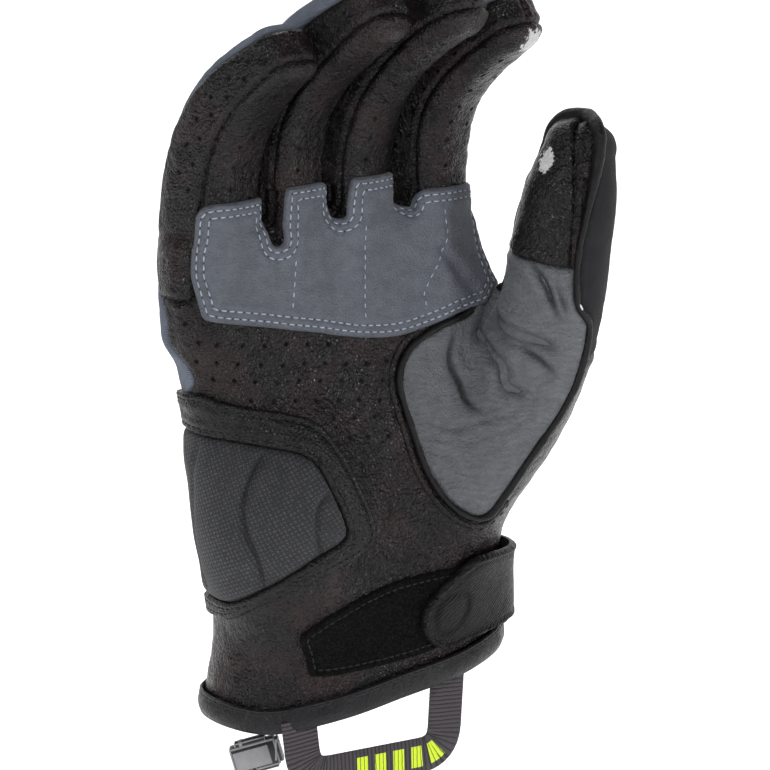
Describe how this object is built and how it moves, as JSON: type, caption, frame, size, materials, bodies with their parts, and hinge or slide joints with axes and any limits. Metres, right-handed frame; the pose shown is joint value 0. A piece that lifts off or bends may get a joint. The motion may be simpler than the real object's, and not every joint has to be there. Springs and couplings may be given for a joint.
{
  "type": "motorcycle glove (right hand)",
  "caption": "Right-hand leather motorcycle glove, palm forward, fingers relaxed, with heel pad, wrist strap, cuff binding, hanging loop and pairing clip.",
  "frame": {"origin": "middle of the wrist opening, at the height of the cuff's lower edge on the palm side", "axes": "+Z from the wrist towards the fingers, -Y out of the palm, +X towards the thumb"},
  "size_m": [0.1306, 0.0783, 0.2406],
  "materials": {
    "black_leather": "fine-grained black leather, soft satin",
    "perforated_leather": "black grained leather with small round perforations",
    "grey_microfibre": "matt grey-blue microfibre suede",
    "pad_fabric": "dark grey hard-wearing woven fabric over foam",
    "loop_fabric": "black brushed loop fabric",
    "back_knit": "grey-blue stretch fabric",
    "thumb_suede": "grey soft suede, wrinkled",
    "thumb_knit": "black stretch knit",
    "strap_leather": "black leather with a fine diagonal grain",
    "binding_leather": "dark grey folded binding",
    "webbing": "ribbed dark grey webbing",
    "clip_plastic": "moulded grey and black plastic"
  },
  "bodies": {
    "root": {"palm_leather": "black_leather", "palm_overlay": "grey_microfibre", "heel_pad_frame": "black_leather", "heel_pad": "pad_fabric", "loop_patch": "loop_fabric", "pinky_side_strip": "perforated_leather", "fourchette_pinky_ring": "perforated_leather", "fourchette_ring_middle": "perforated_leather", "fourchette_middle_index": "perforated_leather", "index_side_strip": "perforated_leather", "back_panel": "back_knit", "back_cuff": "back_knit", "thumb_palm_panel": "thumb_suede", "thumb_tip_panel": "black_leather", "thumb_side_strip": "black_leather", "thumb_back_panel": "thumb_knit", "wrist_strap": "strap_leather", "cuff_binding": "binding_leather", "pull_loop": "webbing", "glove_clip": "clip_plastic"}
  },
  "joints": []
}
